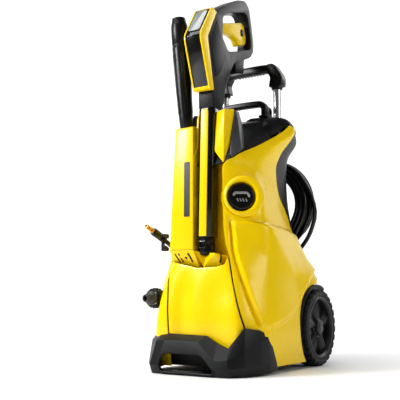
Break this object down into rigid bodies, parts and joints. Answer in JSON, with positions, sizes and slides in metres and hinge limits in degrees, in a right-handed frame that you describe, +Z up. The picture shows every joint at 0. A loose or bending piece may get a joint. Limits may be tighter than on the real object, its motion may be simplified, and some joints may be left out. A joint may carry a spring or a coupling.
{
  "type": "pressure washer",
  "caption": "Upright electric pressure washer on two wheels, with telescopic handle, power knob, coiled hose, stored trigger gun with display and spray lance.",
  "frame": {"origin": "on the floor under the centre of the machine's outline, in its mid-plane", "axes": "+Z up, -Y the front with the foot and gun, +X the machine's right side seen from the front camera side, where the knob is"},
  "size_m": [0.2992, 0.414, 0.8448],
  "materials": {
    "yellow_plastic": "glossy injection-moulded yellow plastic",
    "anthracite_plastic": "fine-grained anthracite moulded plastic",
    "grey_plastic": "fine-grained dark grey moulded plastic",
    "black_plastic": "satin black moulded plastic",
    "rim_plastic": "satin near-black wheel plastic",
    "tyre_rubber": "matt black solid tyre",
    "hose_rubber": "smooth black high-pressure hose",
    "aluminium": "drawn and anodised aluminium",
    "steel": "machined steel",
    "brass": "turned brass",
    "display_window": "clear window over a grey liquid-crystal panel",
    "panel_gloss": "glossy dark key panel"
  },
  "bodies": {
    "chassis": {"base_pan": "black_plastic", "front_foot": "anthracite_plastic", "front_panel": "yellow_plastic", "left_side_shell": "yellow_plastic", "right_side_shell": "yellow_plastic", "rear_frame": "anthracite_plastic", "top_cover": "grey_plastic", "lance_pocket": "yellow_plastic", "gun_holder": "yellow_plastic", "side_pocket": "yellow_plastic", "knob_collar": "yellow_plastic", "left_fender_strip": "anthracite_plastic", "right_fender_strip": "anthracite_plastic", "carry_handle": "black_plastic", "eye_bracket": "black_plastic", "switch_box": "black_plastic", "axle": "steel", "inlet_socket": "black_plastic", "inlet_nut": "black_plastic", "inlet_coupling": "steel", "cable_gland": "black_plastic", "hose_hook": "black_plastic", "hose_outlet": "black_plastic", "hose_lead": "hose_rubber", "hose_coil": "hose_rubber", "hose_tail": "hose_rubber", "hose_sleeve": "black_plastic", "hose_nipple": "brass", "hose_clip": "black_plastic", "motor_stator": "aluminium", "pump_head": "aluminium", "start_capacitor": "grey_plastic"},
    "left_wheel": {"left_tyre": "tyre_rubber", "left_rim": "rim_plastic", "left_hub_cap": "rim_plastic"},
    "right_wheel": {"right_tyre": "tyre_rubber", "right_rim": "rim_plastic", "right_hub_cap": "rim_plastic"},
    "knob": {"power_knob": "black_plastic", "knob_spindle": "steel"},
    "handle": {"handle_tube_left": "aluminium", "handle_tube_right": "aluminium", "handle_grip": "black_plastic"},
    "gun": {"gun_body": "grey_plastic", "gun_bezel": "yellow_plastic", "gun_display": "display_window", "gun_panel": "panel_gloss", "gun_barrel": "grey_plastic", "gun_stripe": "yellow_plastic", "gun_bayonet": "black_plastic"},
    "trigger": {"gun_trigger": "yellow_plastic"},
    "trigger_lock": {"gun_trigger_lock": "black_plastic"},
    "lance": {"lance_tube": "aluminium", "lance_collar": "black_plastic"},
    "lance_nozzle": {"lance_head": "black_plastic"},
    "motor": {"motor_rotor": "steel", "wobble_plate": "steel"},
    "piston_1": {"pump_piston_1": "steel"},
    "piston_2": {"pump_piston_2": "steel"},
    "piston_3": {"pump_piston_3": "steel"}
  },
  "joints": [
    {"name": "left_wheel_spin", "type": "hinge", "parent": "chassis", "child": "left_wheel", "pos_m": [-0.128, 0.122, 0.085], "axis": [1, 0, 0], "continuous": true},
    {"name": "right_wheel_spin", "type": "hinge", "parent": "chassis", "child": "right_wheel", "pos_m": [0.128, 0.122, 0.085], "axis": [1, 0, 0], "continuous": true},
    {"name": "knob_turn", "type": "hinge", "parent": "chassis", "child": "knob", "pos_m": [0.072, -0.113, 0.36], "axis": [0.6365, -0.7712, 0], "range_deg": [0, 90]},
    {"name": "handle_slide", "type": "slide", "parent": "chassis", "child": "handle", "axis": [0, 0, 1], "range_m": [-0.045, 0.2]},
    {"name": "gun_lift", "type": "slide", "parent": "chassis", "child": "gun", "axis": [0, 0, 1], "range_m": [0, 0.33]},
    {"name": "trigger_pull", "type": "hinge", "parent": "gun", "child": "trigger", "pos_m": [0, -0.07, 0.761], "axis": [1, 0, 0], "range_deg": [0, 7], "stiffness_Nm_per_rad": 1, "springref_deg": -11.46},
    {"name": "trigger_lock_slide", "type": "slide", "parent": "trigger", "child": "trigger_lock", "axis": [1, 0, 0], "range_m": [0, 0.003]},
    {"name": "lance_lift", "type": "slide", "parent": "chassis", "child": "lance", "axis": [-0.0656, -0.035, 0.9972], "range_m": [0, 0.26]},
    {"name": "lance_nozzle_turn", "type": "hinge", "parent": "lance", "child": "lance_nozzle", "pos_m": [-0.0447, -0.1095, 0.3033], "axis": [-0.0656, -0.035, 0.9972], "range_deg": [0, 120]},
    {"name": "motor_spin", "type": "hinge", "parent": "chassis", "child": "motor", "pos_m": [0, 0.005, 0.3], "axis": [0, 0, 1], "continuous": true},
    {"name": "piston_1_stroke", "type": "slide", "parent": "chassis", "child": "piston_1", "axis": [0, 0, 1], "range_m": [-0.008, 0], "stiffness_N_per_m": 800, "springref_m": 0.005},
    {"name": "piston_2_stroke", "type": "slide", "parent": "chassis", "child": "piston_2", "axis": [0, 0, 1], "range_m": [-0.008, 0], "stiffness_N_per_m": 800, "springref_m": 0.005},
    {"name": "piston_3_stroke", "type": "slide", "parent": "chassis", "child": "piston_3", "axis": [0, 0, 1], "range_m": [-0.008, 0], "stiffness_N_per_m": 800, "springref_m": 0.005}
  ]
}
